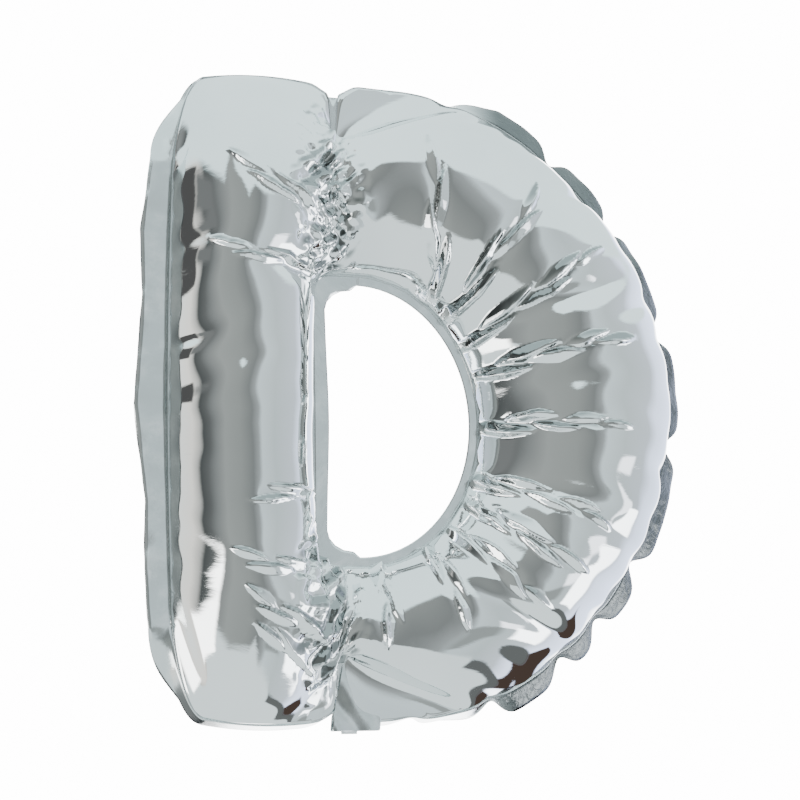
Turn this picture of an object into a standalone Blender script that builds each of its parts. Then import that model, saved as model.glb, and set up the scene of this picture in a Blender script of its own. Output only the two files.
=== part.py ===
"""Letter foil balloon: an inflated, mirror-finish letter D of welded film.

Front and back films are puffed shells with a straight stem with closed round ends, a bowl that is
creased from the hole outwards, and a deep valley at each of the two notches where stem and bowl
meet. They stand on a flat welded seam round the outline and another round the hole. A short
filling tail hangs from the lower notch.

The letter stands in the XZ plane and its front faces -Y. The origin is the letter's centre.
"""

import math

import bmesh
import bpy
from mathutils import Vector

MM = 0.001

# Inflated letter, from weld to weld
LETTER_TALL = 353 * MM
STEM_WIDE = 87 * MM
HOLE_WIDE = 102 * MM
BOWL_WIDE = 114 * MM
HOLE_TALL = 165 * MM
HOLE_DROP = 5 * MM
BOWL_RISE = 4 * MM
BOWL_REACH = 156 * MM
BOWL_HALF = 168 * MM

# Height of the bowl's film off the seam, at its top, side and foot
PUFF_TOP = 38 * MM
PUFF_SIDE = 42 * MM
PUFF_FOOT = 31 * MM
CROWN_SHARE = 0.57
SLACK = 0.3

# Film and seams; a shell this thick stands in for thin film
FILM_THICK = 1.0 * MM
SEAM_THICK = 0.8 * MM
SEAM_WIDE = 8 * MM
SEAM_LAP = 1.5 * MM
FIT_GAP = 0.3 * MM
SKIRT_TALL = 0.8 * MM

# Hole corners beside the stem: tight at the weld, rounder where the film is cut
WELD_CORNER = 8 * MM
CUT_CORNER = 13 * MM
HOLE_FLAT = 20 * MM

# The margin fills each notch up to this height above or below the middle
WEB_TOP = 168 * MM
# From this turn on, a stem section stands at a notch, where the foot is puffed less than the top
NOTCH_TURN = 0.92

# Creases round the bowl, as directions in degrees from straight right
# hole: where the crease starts on the hole's arc; rim: where it would meet the outline
CREASES = (
    # hole, rim
    (54, 84),
    (44, 55),
    (30, 37),
    (17, 14),
    (-3, -6),
    (-24, -30),
    (-36, -45),
    (-50, -59),
    (-63, -74),
    (-80, -89),
)
BOWL_START = (90, 95)
BOWL_END = (-90, -97)
STEPS_PER_LOBE = 4
PUCKER_DEEP = 5 * MM
SCALLOP_DEEP = 1.6 * MM
ROWS_ACROSS = 12

# Filling tail under the lower notch, with a short valve sleeve that shows at its mouth
TAIL_FILM_THICK = 0.6 * MM

LETTER_WIDE = STEM_WIDE + HOLE_WIDE + BOWL_WIDE
LEFT = -LETTER_WIDE / 2
HALF_TALL = LETTER_TALL / 2
HOLE_LEFT = LEFT + STEM_WIDE
HOLE_HALF = HOLE_TALL / 2
BOWL_CENTRE = LEFT + LETTER_WIDE - BOWL_REACH
HOLE_CENTRE = HOLE_LEFT + WELD_CORNER + HOLE_FLAT
HOLE_REACH = LEFT + STEM_WIDE + HOLE_WIDE - HOLE_CENTRE
SEAM_FACE = SEAM_THICK / 2 + FIT_GAP

# Upper half of the stem, from its middle up to the notch and on to the bowl, in millimetres.
# turn: where the section starts on the hole, 0 to -1 up its straight side, 0 to 1 round its
# corner, above 1 along its flat top
# out_x, out_z: end of the section on the outer weld, from the stem's left weld and the middle
# crown_x, crown_z: highest line of the film, crown_up: its height off the seam
STEM_SECTIONS = (
    # turn, out_x, out_z, crown_x, crown_z, crown_up
    (0.00, 0.0, 0.0, 42.0, 0.0, 39.0),
    (-0.33, 0.5, 27.0, 42.0, 26.0, 39.0),
    (-0.66, 1.5, 56.0, 42.0, 53.0, 39.0),
    (-0.99, 3.0, 88.0, 42.0, 80.0, 39.0),
    (0.12, 4.5, 118.0, 43.0, 104.0, 38.5),
    (0.24, 6.0, 146.0, 46.0, 122.0, 38.0),
    (0.36, 13.0, 166.0, 50.0, 132.0, 37.5),
    (0.48, 26.0, 174.5, 55.0, 136.0, 37.0),
    (0.58, 44.0, 176.5, 60.0, 137.0, 36.5),
    (0.68, 62.0, 176.5, 66.0, 137.0, 36.0),
    (0.78, 78.0, 176.0, 73.0, 134.0, 35.5),
    (0.86, 89.0, 173.0, 82.0, 128.0, 33.5),
    (0.92, 96.0, 157.0, 92.0, 120.0, 31.0),
    (0.96, 101.0, 138.0, 98.0, 113.0, 29.0),
    (1.00, 106.0, 150.0, 105.0, 118.0, 31.0),
    (1.35, 111.0, 163.0, 111.0, 122.0, 34.0),
    (1.70, 120.0, 166.5, 119.0, 125.0, 36.5),
)

# Outlines of the tail's films and of the sleeve, in millimetres
# across: from the stem's left weld; up: from the letter's middle
TAIL_OUTLINE = (
    # across, up
    (101.0, -145.0),
    (98.5, -155.0),
    (96.0, -166.0),
    (94.0, -179.0),
    (121.0, -180.0),
    (122.0, -171.5),
    (107.5, -166.0),
    (103.5, -154.0),
)
SLEEVE_OUTLINE = (
    # across, up
    (99.0, -174.5),
    (99.0, -181.5),
    (109.0, -181.5),
    (109.0, -174.5),
)

COLLECTION_NAME = "letter_foil_balloon"


def clear_scene():
    for item in list(bpy.data.objects):
        bpy.data.objects.remove(item)


def foil_material(name, colour, roughness, metallic):
    material = bpy.data.materials.new(name)
    material.use_nodes = True
    shader = material.node_tree.nodes["Principled BSDF"]
    shader.inputs["Base Color"].default_value = (*colour, 1)
    shader.inputs["Roughness"].default_value = roughness
    shader.inputs["Metallic"].default_value = metallic
    return material


def add_part(name, bm, material, collection):
    mesh = bpy.data.meshes.new(name)
    bm.to_mesh(mesh)
    bm.free()
    mesh.materials.append(material)
    part = bpy.data.objects.new(name, mesh)
    collection.objects.link(part)
    return part


def hole_corner(turn, centre_x, centre_z, radius):
    angle = turn * math.pi / 2
    return Vector((centre_x - radius * math.cos(angle), 0, centre_z + radius * math.sin(angle)))


def stem_hole_point(turn, edge_x, top_z, radius):
    """Point on the hole's outline beside the stem, for the weld or for the cut."""
    corner_z = top_z - radius
    if turn <= 0:
        return Vector((edge_x, 0, -turn * corner_z))
    if turn <= 1:
        return hole_corner(turn, edge_x + radius, corner_z, radius)
    start = edge_x + radius
    return Vector((start + (turn - 1) * (HOLE_CENTRE - start), 0, top_z))


def stem_sections():
    """Upper stem sections as dicts of points: hole cut, hole weld, crown, outer weld."""
    sections = []
    for turn, out_x, out_z, crown_x, crown_z, crown_up in STEM_SECTIONS:
        sections.append({
            "cut": stem_hole_point(turn, HOLE_LEFT + SEAM_WIDE, HOLE_HALF - SEAM_WIDE, CUT_CORNER),
            "inner": stem_hole_point(turn, HOLE_LEFT, HOLE_HALF, WELD_CORNER),
            "crown": Vector((LEFT + crown_x * MM, 0, crown_z * MM)),
            "outer": Vector((LEFT + out_x * MM, 0, out_z * MM)),
            "up": crown_up * MM,
            "pinch": 0.0,
            "slack": SLACK * max(0.0, turn - 1),
            "rise": BOWL_RISE if turn >= 1 else 0.0,
            "foot": PUFF_FOOT / PUFF_TOP if turn >= NOTCH_TURN else 1.0,
        })
    return sections


def arc_point(centre_x, centre_z, reach, half, degrees):
    """Point on an ellipse in the letter's plane."""
    angle = math.radians(degrees)
    return Vector((centre_x + reach * math.cos(angle), 0, centre_z + half * math.sin(angle)))


def bowl_section(hole, rim, pinch):
    """Section from a direction on the hole's arc to one on the outline."""
    inner = arc_point(HOLE_CENTRE, -HOLE_DROP, HOLE_REACH, HOLE_HALF, hole)
    outer = arc_point(BOWL_CENTRE, BOWL_RISE, BOWL_REACH - SCALLOP_DEEP * pinch,
                      BOWL_HALF - SCALLOP_DEEP * pinch, rim)
    end_up = PUFF_TOP if rim > 0 else PUFF_FOOT
    return {
        "cut": arc_point(HOLE_CENTRE, -HOLE_DROP, HOLE_REACH - SEAM_WIDE, HOLE_HALF - SEAM_WIDE, hole),
        "inner": inner,
        "crown": inner + (outer - inner) * CROWN_SHARE,
        "outer": outer,
        "up": PUFF_SIDE + (end_up - PUFF_SIDE) * abs(math.sin(math.radians(rim))),
        "pinch": pinch,
        "slack": SLACK,
    }


def bowl_sections():
    """Sections round the bowl from top to bottom, with a crease between each two lobes."""
    stops = [BOWL_START, *CREASES, BOWL_END]
    sections = [bowl_section(*BOWL_START, 0.0)]
    for start, end in zip(stops, stops[1:]):
        for step in range(1, STEPS_PER_LOBE + 1):
            share = step / STEPS_PER_LOBE
            pinch = 1.0 if step == STEPS_PER_LOBE and end is not BOWL_END else 0.0
            hole = start[0] + (end[0] - start[0]) * share
            rim = start[1] + (end[1] - start[1]) * share
            sections.append(bowl_section(hole, rim, pinch))
    return sections


def lowered(section):
    """The same stem section below the letter's middle."""
    copy = dict(section)
    for key in ("cut", "inner", "crown", "outer"):
        point = section[key]
        copy[key] = Vector((point.x, 0, -point.z))
    copy["up"] = section["up"] * section["foot"]
    return copy


def shifted(section):
    """The hole lies lower than the stem's outline, and the bowl's side of a notch lies higher."""
    for key in ("cut", "inner"):
        section[key] = section[key] - Vector((0, 0, HOLE_DROP))
    section["outer"] = section["outer"] + Vector((0, 0, section["rise"]))
    section["crown"] = section["crown"] + Vector((0, 0, (section["rise"] - HOLE_DROP) / 2))
    return section


def letter_sections():
    """Every section in order: up the stem, round the bowl and back to the stem's middle."""
    upper = stem_sections()
    lower = [lowered(section) for section in reversed(upper[1:])]
    upper = [shifted(section) for section in upper]
    lower = [shifted(section) for section in lower]
    return upper + bowl_sections() + lower


def film_point(section, share, side):
    """Point on the puffed film, share 0 at the hole's weld and 1 at the outer weld."""
    turn = math.pi * share
    crown = section["crown"]
    end = section["inner"] if share < 0.5 else section["outer"]
    plan = crown + (end - crown) * abs(math.cos(turn))
    fade = math.sin(turn) ** 0.6 * (1 - share) ** 0.8
    fullness = 1 + section["slack"] * (1 - share)
    up = section["up"] * math.sin(turn) ** fullness - PUCKER_DEEP * section["pinch"] * fade
    return Vector((plan.x, side * (SEAM_FACE + SKIRT_TALL + up), plan.z))


def film_bmesh(sections, side):
    """One open puffed sheet; its rims stand square on the seams."""
    bm = bmesh.new()
    columns = []
    for section in sections:
        inner = section["inner"]
        outer = section["outer"]
        points = [Vector((inner.x, side * SEAM_FACE, inner.z))]
        points += [film_point(section, row / ROWS_ACROSS, side) for row in range(ROWS_ACROSS + 1)]
        points.append(Vector((outer.x, side * SEAM_FACE, outer.z)))
        columns.append([bm.verts.new(point) for point in points])
    count = len(columns)
    for index in range(count):
        here = columns[index]
        there = columns[(index + 1) % count]
        for row in range(len(here) - 1):
            corners = (here[row], here[row + 1], there[row + 1], there[row])
            bm.faces.new(corners if side < 0 else tuple(reversed(corners)))
    return bm


def build_film(name, sections, side, material, collection):
    part = add_part(name, film_bmesh(sections, side), material, collection)
    part.data.shade_smooth()
    shell = part.modifiers.new("film", "SOLIDIFY")
    shell.thickness = FILM_THICK
    shell.offset = -1
    return part


def outward(points, index):
    """Unit direction square to a closed outline in the XZ plane, away from its inside."""
    ahead = points[(index + 1) % len(points)] - points[index - 1]
    return Vector((-ahead.z, 0, ahead.x)).normalized()


def ring_bmesh(inner, outer, thick):
    """Flat closed ring between two outlines with the same number of points."""
    bm = bmesh.new()
    loops = []
    for points, depth in ((inner, -1), (outer, -1), (outer, 1), (inner, 1)):
        lift = Vector((0, depth * thick / 2, 0))
        loops.append([bm.verts.new(point + lift) for point in points])
    count = len(inner)
    for index in range(count):
        after = (index + 1) % count
        for near, far in zip(loops, loops[1:] + loops[:1]):
            bm.faces.new((near[index], near[after], far[after], far[index]))
    return bm


def margin_point(weld, index):
    """Cut edge of the outer margin, which fills a notch up to its web's top."""
    point = weld[index]
    in_notch = point.x > HOLE_LEFT and point.x < HOLE_CENTRE and abs(point.z) < WEB_TOP - SEAM_WIDE
    if in_notch:
        return Vector((point.x, 0, math.copysign(WEB_TOP, point.z)))
    return point + outward(weld, index) * SEAM_WIDE


def build_outer_seam(sections, material, collection):
    weld = [section["outer"] for section in sections]
    inner = [point - outward(weld, index) * SEAM_LAP for index, point in enumerate(weld)]
    outer = [margin_point(weld, index) for index in range(len(weld))]
    return add_part("outer_seam", ring_bmesh(inner, outer, SEAM_THICK), material, collection)


def build_hole_seam(sections, material, collection):
    weld = [section["inner"] for section in sections]
    cut = [section["cut"] for section in sections]
    outer = [point + outward(weld, index) * SEAM_LAP for index, point in enumerate(weld)]
    return add_part("hole_seam", ring_bmesh(cut, outer, SEAM_THICK), material, collection)


def flat_sheet(name, outline, thick, centre_y, material, collection):
    """Sheet parallel to the letter's plane, cut to an outline of (x, z) in millimetres."""
    curve = bpy.data.curves.new(name, "CURVE")
    curve.dimensions = "2D"
    curve.fill_mode = "BOTH"
    curve.extrude = thick / 2
    spline = curve.splines.new("POLY")
    spline.points.add(len(outline) - 1)
    spline.use_cyclic_u = True
    for point, (across, up) in zip(spline.points, outline):
        point.co = (LEFT + across * MM, up * MM, 0, 1)
    curve.materials.append(material)
    part = bpy.data.objects.new(name, curve)
    part.location.y = centre_y
    part.rotation_euler.x = math.radians(90)
    collection.objects.link(part)
    return part


def build_tail(film, sleeve, collection):
    """Two film tabs lap the seam's margin under the notch, with the valve sleeve between them."""
    reach = SEAM_FACE + TAIL_FILM_THICK / 2
    flat_sheet("tail_front", TAIL_OUTLINE, TAIL_FILM_THICK, -reach, film, collection)
    flat_sheet("tail_back", TAIL_OUTLINE, TAIL_FILM_THICK, reach, film, collection)
    flat_sheet("valve_sleeve", SLEEVE_OUTLINE, SEAM_THICK, 0, sleeve, collection)


def main():
    clear_scene()
    collection = bpy.data.collections.new(COLLECTION_NAME)
    bpy.context.scene.collection.children.link(collection)
    foil = foil_material("silver_foil", (0.82, 0.84, 0.85), 0.08, 1.0)
    seam = foil_material("seam_foil", (0.72, 0.75, 0.77), 0.18, 1.0)
    tail = foil_material("tail_foil", (0.80, 0.82, 0.84), 0.2, 1.0)
    sleeve = foil_material("sleeve_film", (0.85, 0.86, 0.86), 0.35, 0.0)
    sections = letter_sections()
    build_film("front_film", sections, -1, foil, collection)
    build_film("back_film", sections, 1, foil, collection)
    build_outer_seam(sections, seam, collection)
    build_hole_seam(sections, seam, collection)
    build_tail(tail, sleeve, collection)


main()
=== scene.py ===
"""Letter foil balloon: an inflated, mirror-finish capital D of welded film.

The two sheets are cut flat, welded round the outline and round the hole, and blown up from that flat
pattern. Chains of leaf-shaped creases and patches of crumpled film are then pressed into both films.
The margins and weld beads follow the inflated letter, and the short filling tail hangs in its place in
the frame. Sizes are in metres, in the frame's axes: the letter stands in the XZ plane and its front
faces -Y.
"""

import math

import bmesh
import bpy
import numpy as np
from bpy.props import FloatProperty, FloatVectorProperty, IntProperty, PointerProperty
from bpy.types import Operator, Panel, PropertyGroup
from mathutils import Matrix, Vector
from mathutils.geometry import delaunay_2d_cdt


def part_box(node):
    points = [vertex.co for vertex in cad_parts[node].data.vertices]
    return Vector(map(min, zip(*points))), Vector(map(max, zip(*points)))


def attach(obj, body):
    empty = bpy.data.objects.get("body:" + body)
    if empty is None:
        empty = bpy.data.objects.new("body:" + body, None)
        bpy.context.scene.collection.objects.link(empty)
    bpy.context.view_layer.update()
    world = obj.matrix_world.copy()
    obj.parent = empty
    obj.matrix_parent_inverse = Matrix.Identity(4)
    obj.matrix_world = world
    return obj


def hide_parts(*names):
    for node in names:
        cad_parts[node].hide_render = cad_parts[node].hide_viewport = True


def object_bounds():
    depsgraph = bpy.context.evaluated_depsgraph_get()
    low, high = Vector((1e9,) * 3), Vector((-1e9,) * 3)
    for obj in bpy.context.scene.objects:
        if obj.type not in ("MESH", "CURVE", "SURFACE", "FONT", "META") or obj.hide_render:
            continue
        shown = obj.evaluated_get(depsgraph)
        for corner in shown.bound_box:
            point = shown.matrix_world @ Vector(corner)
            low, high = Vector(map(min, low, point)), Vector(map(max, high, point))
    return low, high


bl_info = {
    "name": "Letter Foil Balloon",
    "version": (1, 0, 0),
    "blender": (4, 5, 0),
    "location": "3D View > Sidebar > Balloon",
    "description": "Inflates a foil letter from its flat pattern and dresses its seams, tail and studio",
    "category": "Add Mesh",
}

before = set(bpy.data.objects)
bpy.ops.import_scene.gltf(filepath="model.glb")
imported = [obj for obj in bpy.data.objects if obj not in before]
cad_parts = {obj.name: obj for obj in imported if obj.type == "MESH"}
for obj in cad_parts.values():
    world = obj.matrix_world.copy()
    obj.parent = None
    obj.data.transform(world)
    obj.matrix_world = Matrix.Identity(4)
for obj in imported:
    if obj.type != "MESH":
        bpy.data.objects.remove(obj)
CAD_BOX = [list(corner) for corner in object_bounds()]

MM = 0.001
BODY = "root"
PHOTO_SIDE = 800
SENSOR_WIDE = 36.0

FRONT, BACK = range(2)
OUTER, HOLE = range(2)


def length_property(name, description, millimetres):
    return FloatProperty(name=name, description=description, default=millimetres * MM, unit="LENGTH")


def number_property(name, description, number):
    return FloatProperty(name=name, description=description, default=number)


def colour_property(name, description, colour):
    return FloatVectorProperty(name=name, description=description, default=colour, subtype="COLOR", size=3)


# Both outlines of the letter in millimetres, across from the stem's left weld and up from the middle
OUTLINE_ROWS = (
    # name, label, meaning  flat pattern, inflated letter
    ("stem_up", "Stem up", "Weld at the stem's top, above the middle", 188, 173),
    ("stem_down", "Stem down", "Weld at the stem's foot, below the middle", 188, 173),
    ("stem_crown", "Stem crown", "How far the stem's ends bow outwards", 9, 3.5),
    ("stem_bow", "Stem bow", "How far the stem's left side bows outwards", 0, 2),
    ("corner_across", "Corner across", "Radius across at the stem's two left corners", 28, 19),
    ("corner_down", "Corner down", "Radius down at the stem's two left corners", 62, 66),
    ("stem_wide", "Stem width", "From the left weld to the hole's weld", 116, 77.5),
    ("notch_x", "Notch place", "From the left weld to the two notches", 112, 91),
    ("notch_half", "Notch half width", "Half the width of a notch", 8, 3),
    ("notch_deep", "Notch depth", "Depth of a notch", 28, 36),
    ("mouth_half", "Notch mouth half width", "Half the width of the soft dip round a notch", 10, 15),
    ("mouth_deep", "Notch mouth depth", "Depth of the soft dip round a notch", 1, 6),
    ("bowl_x", "Bowl centre", "From the left weld to the bowl's centre", 140, 127),
    ("bowl_z", "Bowl height", "Bowl's centre above the middle", 1, 0),
    ("bowl_wide", "Bowl reach", "Bowl's radius to the right", 210, 161),
    ("bowl_tall", "Bowl half height", "Bowl's radius up and down", 210, 175),
    ("bowl_rise", "Bowl rise", "How far the bowl's edge rises towards a notch", 4, 1),
    ("hole_x", "Hole centre", "From the left weld to the centre of the hole's arc", 126, 103),
    ("hole_z", "Hole height", "Hole's centre above the middle", -14, -13.5),
    ("hole_wide", "Hole reach", "Radius of the hole's arc to the right", 70, 69.5),
    ("hole_tall", "Hole half height", "Radius of the hole's arc up and down", 81, 80),
    ("hole_corner", "Hole corner", "Weld radius at the hole's two left corners", 5, 8),
)


def outline_properties(column):
    return {row[0]: length_property(row[1], row[2], row[column]) for row in OUTLINE_ROWS}


class FlatSettings(PropertyGroup):
    """Flat pattern of one sheet."""

    __annotations__ = outline_properties(3)


class PuffedSettings(PropertyGroup):
    """Welds of the inflated letter."""

    __annotations__ = outline_properties(4)


class FilmSettings(PropertyGroup):
    """How the film is meshed and blown up."""

    step: length_property("Mesh step", "Point spacing of the first mesh; each pass halves it", 9)
    passes: IntProperty(name="Passes", description="Times that the film is inflated, each finer", default=3)
    thickness: length_property("Film thickness", "Thickness given to a sheet of film", 0.12)
    margin: length_property("Margin", "Width of the welded margin outside the letter", 13)
    hole_margin: length_property("Hole margin", "Width of the welded margin inside the hole", 9)
    margin_thickness: length_property("Margin thickness", "Thickness of the two bonded sheets", 0.2)
    bead: length_property("Weld bead", "Radius of the melted bead along a weld", 0.28)
    seed: IntProperty(name="Seed", description="Seed of the small unevenness in the film", default=3)


class FinishSettings(PropertyGroup):
    """Colours of the films."""

    film: colour_property("Film", "Mirror film", (0.86, 0.885, 0.885))
    film_deep: colour_property("Film, deep", "Darker tone of the mirror film", (0.78, 0.81, 0.815))
    # Painted shade: dark base colour for crease sides that turn up and left, standing in for the film they
    # mirror
    film_dull: colour_property("Film, dull", "Crease sides that mirror other film", (0.26, 0.28, 0.28))
    seam: colour_property("Seam", "Welded margin", (0.66, 0.70, 0.70))
    seam_lip: colour_property("Seam lip", "Cut edge of the margin", (0.84, 0.87, 0.87))
    # Painted shade: dark colour for the margin on the bowl's side, standing in for the dark reflections of
    # its crinkled foil
    gathered_painted_shade: colour_property("Gathered seam", "Crinkled margin round the bowl", (0.13, 0.14, 0.14))
    sleeve: colour_property("Sleeve", "Valve sleeve film", (0.80, 0.81, 0.81))
    floor: colour_property("Floor", "Studio floor", (0.93, 0.93, 0.93))


class StudioSettings(PropertyGroup):
    """Camera and room."""

    azimuth: number_property("Azimuth", "Camera's turn to the letter's left, in degrees", 20.0)
    elevation: number_property("Elevation", "Camera's height as an angle, in degrees", -10.0)
    roll: number_property("Roll", "Camera's roll, in degrees", -1.2)
    distance: length_property("Distance", "From the letter's middle to the camera", 1100)
    focal_pixels: number_property("Focal length", "In the picture's pixels", 1998.0)
    middle_x: number_property("Middle, across", "Picture column of the letter's middle", 427.0)
    middle_y: number_property("Middle, down", "Picture row of the letter's middle", 398.5)
    floor_drop: length_property("Floor drop", "From the letter's middle down to the floor", 620)


class BalloonSettings(PropertyGroup):
    flat: PointerProperty(type=FlatSettings)
    puffed: PointerProperty(type=PuffedSettings)
    film: PointerProperty(type=FilmSettings)
    finish: PointerProperty(type=FinishSettings)
    studio: PointerProperty(type=StudioSettings)


def settings():
    return bpy.context.scene.balloon


# Flat pattern

# Above 1 the bowl's shoulders are flatter than an ellipse
BOWL_POWER = 1.05
# A notch closes by this share of what the outline grows, down to a least share of its half width
NOTCH_CLOSING = 0.35
NOTCH_LEAST = 0.4
# The hole's corners round by this share of what the hole shrinks
CORNER_ROUNDING = 0.6
# Points that trace a curve before it is spaced evenly
TRACE_POINTS = 400
# As shares of the mesh step: spacing on the hole's weld, unevenness of the points, least gap to a weld
HOLE_SPACING = 0.8
UNEVENNESS = 0.12
WELD_GAP = 0.55


def straight(start, end):
    return lambda t: (start[0] + (end[0] - start[0]) * t, start[1] + (end[1] - start[1]) * t)


def hump(share):
    """1 in the middle and 0 from one side to the other, at -1 and 1."""
    return 0.5 * (1 + math.cos(math.pi * min(1, abs(share))))


def quarter(centre_x, centre_z, across, up, start, end, power=1.0):
    """Part of an ellipse, from one angle to another in degrees; a power above 1 flattens its shoulders."""

    def share(value):
        return math.copysign(abs(value) ** power, value)

    def point(t):
        angle = math.radians(start + (end - start) * t)
        return (centre_x + across * share(math.cos(angle)), centre_z + up * share(math.sin(angle)))

    return point


def outer_curves(p, grow):
    """Curves of the outline, turning left from the bowl's top; grow moves them outwards."""
    left = -grow
    across, down = p.corner_across + grow, p.corner_down + grow
    stem_start = left + across
    half = max(p.notch_half - NOTCH_CLOSING * grow, NOTCH_LEAST * p.notch_half)
    near, far = p.notch_x - p.mouth_half, p.notch_x + p.mouth_half

    def stem_edge(x, side):
        level = (p.stem_up if side > 0 else p.stem_down) + grow
        share = (x - stem_start) / (p.notch_x - stem_start)
        return side * (level + p.stem_crown * (1 - (2 * share - 1) ** 2))

    def bowl_edge(x, side):
        share = (p.bowl_x - x) / (p.bowl_x - p.notch_x)
        return p.bowl_z + side * (p.bowl_tall + grow + p.bowl_rise * share * share)

    def notch(side):
        def point(t):
            x = far + (near - far) * t
            dip = p.notch_deep * hump((x - p.notch_x) / half) + p.mouth_deep * hump(1 - 2 * t)
            edge = bowl_edge(far, side) * (1 - t) + stem_edge(near, side) * t
            return (x, edge - side * dip)

        return point

    def along(edge, side, start, end):
        return lambda t: (start + (end - start) * t, edge(start + (end - start) * t, side))

    top, foot = p.stem_up + grow - down, -p.stem_down - grow + down
    low_notch = notch(-1)
    return [
        along(bowl_edge, 1, p.bowl_x, far),
        notch(1),
        along(stem_edge, 1, near, stem_start),
        quarter(stem_start, top, across, down, 90, 180),
        lambda t: (left - p.stem_bow * 4 * t * (1 - t), top + (foot - top) * t),
        quarter(stem_start, foot, across, down, 180, 270),
        along(stem_edge, -1, stem_start, near),
        lambda t: low_notch(1 - t),
        along(bowl_edge, -1, far, p.bowl_x),
        quarter(p.bowl_x, p.bowl_z, p.bowl_wide + grow, p.bowl_tall + grow, -90, 0, BOWL_POWER),
        quarter(p.bowl_x, p.bowl_z, p.bowl_wide + grow, p.bowl_tall + grow, 0, 90, BOWL_POWER),
    ]


def hole_curves(p, shrink):
    """Curves of the hole's outline, turning left from its top; shrink moves them into the hole."""
    left = p.stem_wide + shrink
    corner = p.hole_corner + CORNER_ROUNDING * shrink
    across, up = p.hole_wide - shrink, p.hole_tall - shrink
    top, foot = p.hole_z + up, p.hole_z - up
    return [
        straight((p.hole_x, top), (left + corner, top)),
        quarter(left + corner, top - corner, corner, corner, 90, 180),
        straight((left, top - corner), (left, foot + corner)),
        quarter(left + corner, foot + corner, corner, corner, 180, 270),
        straight((left + corner, foot), (p.hole_x, foot)),
        quarter(p.hole_x, p.hole_z, across, up, -90, 0),
        quarter(p.hole_x, p.hole_z, across, up, 0, 90),
    ]


def distance_along(points):
    """Distance along a line of points to each of them."""
    return np.concatenate([[0], np.cumsum(np.linalg.norm(np.diff(points, axis=0), axis=1))])


def spaced_points(curves, step, counts=None):
    """Evenly spaced points on each curve, and how many each has; counts repeats another outline's."""
    points, used = [], []
    fine = np.linspace(0, 1, TRACE_POINTS)
    for index, curve in enumerate(curves):
        trace = np.array([curve(t) for t in fine])
        run = distance_along(trace)
        count = counts[index] if counts else max(1, round(run[-1] / step))
        points += [curve(t) for t in np.interp(np.linspace(0, run[-1], count + 1)[:-1], run, fine)]
        used.append(count)
    return np.array(points), used


def inside(outline, points):
    """Which points lie inside a closed outline."""
    after = np.roll(outline, -1, 0)
    x, z = points[:, 0][:, None], points[:, 1][:, None]
    spans = (outline[None, :, 1] > z) != (after[None, :, 1] > z)
    rise = after[None, :, 1] - outline[None, :, 1]
    rise = np.where(rise == 0, 1e-30, rise)
    cut = (after[None, :, 0] - outline[None, :, 0]) * (z - outline[None, :, 1]) / rise + outline[None, :, 0]
    return (spans & (x < cut)).sum(1) % 2 == 1


def distance_to(outline, points):
    """Each point's distance to a closed outline."""
    nearest = np.full(len(points), np.inf)
    for start, end in zip(outline, np.roll(outline, -1, 0)):
        edge = end - start
        share = np.clip((points - start) @ edge / (edge @ edge), 0, 1)
        nearest = np.minimum(nearest, np.linalg.norm(points - start - share[:, None] * edge, axis=1))
    return nearest


def filling_points(outer, hole, step, rng):
    """Staggered rows of slightly uneven points between the outline and the hole."""
    low, high = outer.min(0), outer.max(0)
    rows = []
    for row, z in enumerate(np.arange(low[1], high[1], step * math.sqrt(3) / 2)):
        xs = np.arange(low[0] + step / 2 * (row % 2), high[0], step)
        rows.append(np.stack([xs, np.full(len(xs), z)], 1))
    points = np.concatenate(rows)
    points += rng.uniform(-UNEVENNESS, UNEVENNESS, points.shape) * step
    points = points[inside(outer, points) & ~inside(hole, points)]
    clear = np.minimum(distance_to(outer, points), distance_to(hole, points))
    return points[clear > WELD_GAP * step]


def flat_letter(p, step, rng):
    """Both sheets laid flat: points, triangles, each triangle's part, each point's side and the welds.

    The sheets share the points of the two welds. Side is -1 on the front sheet, 1 on the back one
    and 0 on the welds. Each weld is its points in order and how many lie on each of its curves.
    """
    outer, outer_counts = spaced_points(outer_curves(p, 0), step)
    hole, hole_counts = spaced_points(hole_curves(p, 0), step * HOLE_SPACING)
    points = np.concatenate([outer, hole, filling_points(outer, hole, step, rng)])
    rim, welded = len(outer), len(outer) + len(hole)
    edges = [(i, (i + 1) % rim) for i in range(rim)]
    edges += [(rim + i, rim + (i + 1) % len(hole)) for i in range(len(hole))]
    made = delaunay_2d_cdt([Vector(point) for point in points], edges, [], 0, 1e-7)
    plan = np.array([tuple(point) for point in made[0]])
    faces = np.array([face for face in made[2] if len(face) == 3])
    centres = plan[faces].mean(1)
    faces = faces[inside(outer, centres) & ~inside(hole, centres)]
    corners = plan[faces]
    turn = np.cross(corners[:, 1] - corners[:, 0], corners[:, 2] - corners[:, 0])
    faces[turn < 0] = faces[turn < 0][:, ::-1]
    loose = len(plan) - welded
    back = faces.copy()
    back[back >= welded] += loose
    side = np.zeros(welded + 2 * loose)
    side[welded:welded + loose] = -1
    side[welded + loose:] = 1
    welds = [(np.arange(rim), outer_counts), (np.arange(rim, welded), hole_counts)]
    part = np.repeat([FRONT, BACK], len(faces))
    flat = np.concatenate([plan, plan[welded:]])
    return flat, np.concatenate([faces, back[:, ::-1]]), part, side, welds


# Dents in the letter's outline at the ends of the bowl's creases
DENT_WIDE = 7 * MM
DENT_DEEP = 1.8 * MM
# Weld points farther out than this share of the bowl's reach lie on its rim
RIM_SHARE = 0.9


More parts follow.
